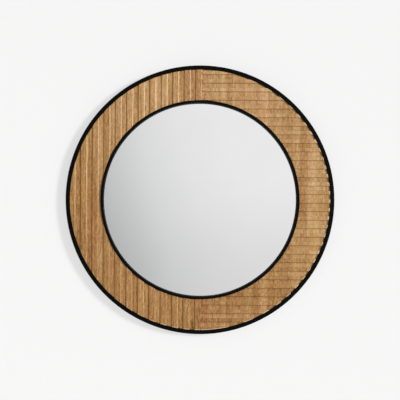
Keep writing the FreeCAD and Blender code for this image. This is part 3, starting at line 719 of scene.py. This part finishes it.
def wall_paint():
    """Smooth off-white paint, most of its tone the same in light and shade.

    It is seen from its front only, so that the mirror shows from behind the wall.
    """
    made, graph = material("wall_paint")
    roller = graph.noise(graph.place(), 160.0, 3.0)
    shade = graph.blend(roller, (0.896, 0.895, 0.893), (0.906, 0.906, 0.904))
    matt = graph.node("ShaderNodeBsdfDiffuse", {
        "Color": shade, "Normal": graph.relief(roller, 0.00005, 0.3)}).outputs[0]
    even = graph.node("ShaderNodeEmission", {"Color": shade, "Strength": 1.0}).outputs[0]
    paint = graph.node("ShaderNodeMixShader", {0: WALL_GLOW, 1: matt, 2: even}).outputs[0]
    behind = graph.node("ShaderNodeNewGeometry").outputs["Backfacing"]
    seen = graph.times(
        graph.node("ShaderNodeLightPath").outputs["Is Camera Ray"],
        graph.math("SUBTRACT", 1.0, behind))
    clear = graph.node("ShaderNodeBsdfTransparent").outputs[0]
    mixed = graph.node("ShaderNodeMixShader", {0: seen, 1: clear, 2: paint}).outputs[0]
    graph.node("ShaderNodeOutputMaterial", {"Surface": mixed})
    return made


def floor_paint():
    """Pale grey paint, matt and finely grained."""
    made, graph = material("floor_paint")
    grain = graph.noise(graph.place(), 220.0, 3.0)
    shade = graph.blend(grain, (0.79, 0.79, 0.785), (0.81, 0.81, 0.805))
    surface(graph, shade, graph.fit(grain, 0.3, 0.7, 0.7, 0.8), graph.relief(grain, 0.0001, 0.4))
    return made


plane("wall", [
    (-ROOM_SIDE, 0, FLOOR_LEVEL), (ROOM_SIDE, 0, FLOOR_LEVEL), (ROOM_SIDE, 0, ROOM_TOP),
    (-ROOM_SIDE, 0, ROOM_TOP)], wall_paint())
plane("floor", [
    (-ROOM_SIDE, -ROOM_SIDE, FLOOR_LEVEL), (ROOM_SIDE, -ROOM_SIDE, FLOOR_LEVEL),
    (ROOM_SIDE, 0, FLOOR_LEVEL), (-ROOM_SIDE, 0, FLOOR_LEVEL)], floor_paint())


def studio_world():
    """A pale room. Glossy surfaces see its far side, darker to the left and a little darker low down.

    The glass shows only a narrow part of it, so the tones there change fast with the direction.
    """
    world = bpy.data.worlds.new("studio")
    bpy.context.scene.world = world
    world.use_nodes = True
    graph = Graph(world.node_tree)
    aside, _, upwards = graph.split(graph.node("ShaderNodeTexCoord").outputs["Generated"])
    slant = graph.total(graph.times(aside, 12.05), graph.times(upwards, 3.0))
    room = graph.colours(graph.fit(slant, -1.3, 1.0, smooth=False), [
        (0.0, (0.44, 0.445, 0.45)),
        (0.16, (0.542, 0.547, 0.552)),
        (0.38, (0.732, 0.735, 0.737)),
        (0.55, (0.808, 0.81, 0.81)),
        (0.75, (0.849, 0.851, 0.851)),
        (1.0, (0.862, 0.862, 0.862)),
    ])
    low = graph.fit(upwards, 0.03, -0.0785, 1.015, 0.87)
    room = graph.blend(1.0, room, graph.vector(low, low, low), "MULTIPLY")
    path = graph.node("ShaderNodeLightPath")
    mirrored = graph.math(
        "MAXIMUM", path.outputs["Is Glossy Ray"], path.outputs["Is Transmission Ray"])
    soft = graph.total(graph.times(upwards, 0.26), graph.times(aside, 0.08), 0.38)
    shown = graph.blend(
        path.outputs["Is Camera Ray"], graph.vector(soft, soft, soft), (1.0, 1.0, 1.0))
    shown = graph.blend(mirrored, shown, room)
    light = graph.node("ShaderNodeBackground", {"Color": shown, "Strength": 1.0}).outputs[0]
    graph.node("ShaderNodeOutputWorld", {"Surface": light})


def sun(name, direction, strength, spread):
    """Parallel light that comes from a direction, as soft as a disc that spans the spread in degrees."""
    data = bpy.data.lights.new(name, "SUN")
    data.energy = strength
    data.angle = math.radians(spread)
    made = bpy.data.objects.new(name, data)
    bpy.context.scene.collection.objects.link(made)
    made.rotation_euler = Vector(direction).to_track_quat("Z", "Y").to_euler()


def lamp(name, place, target, size, power):
    """A round lamp of that size across, aimed at the target."""
    data = bpy.data.lights.new(name, "AREA")
    data.shape = "DISK"
    data.size = size
    data.energy = power
    made = bpy.data.objects.new(name, data)
    bpy.context.scene.collection.objects.link(made)
    made.location = place
    made.rotation_euler = (Vector(target) - Vector(place)).to_track_quat("-Z", "Y").to_euler()


studio_world()
sun("key_light", (1.21, -1.0, 0.30), strength=2.85, spread=13.0)
lamp("back_light", (-1.6, 2.6, 1.8), target=(0, 0, 0), size=1.6, power=56.0)

# The photo's camera: level, straight in front, and rolled by about a third of a degree
CAMERA_PLACE = (0.0, -3.627, -0.0007)
CAMERA_ROLL = 0.3
SENSOR_WIDTH = 36.0
LENS = 108.9
camera_data = bpy.data.cameras.new("camera")
camera_data.sensor_width = SENSOR_WIDTH
camera_data.lens = LENS
camera = bpy.data.objects.new("camera", camera_data)
bpy.context.scene.collection.objects.link(camera)
camera.matrix_world = (
    Matrix.Translation(CAMERA_PLACE) @ Matrix.Rotation(math.radians(90), 4, "X")
    @ Matrix.Rotation(math.radians(CAMERA_ROLL), 4, "Z"))
bpy.context.scene.camera = camera
bpy.context.scene.view_settings.view_transform = "Standard"
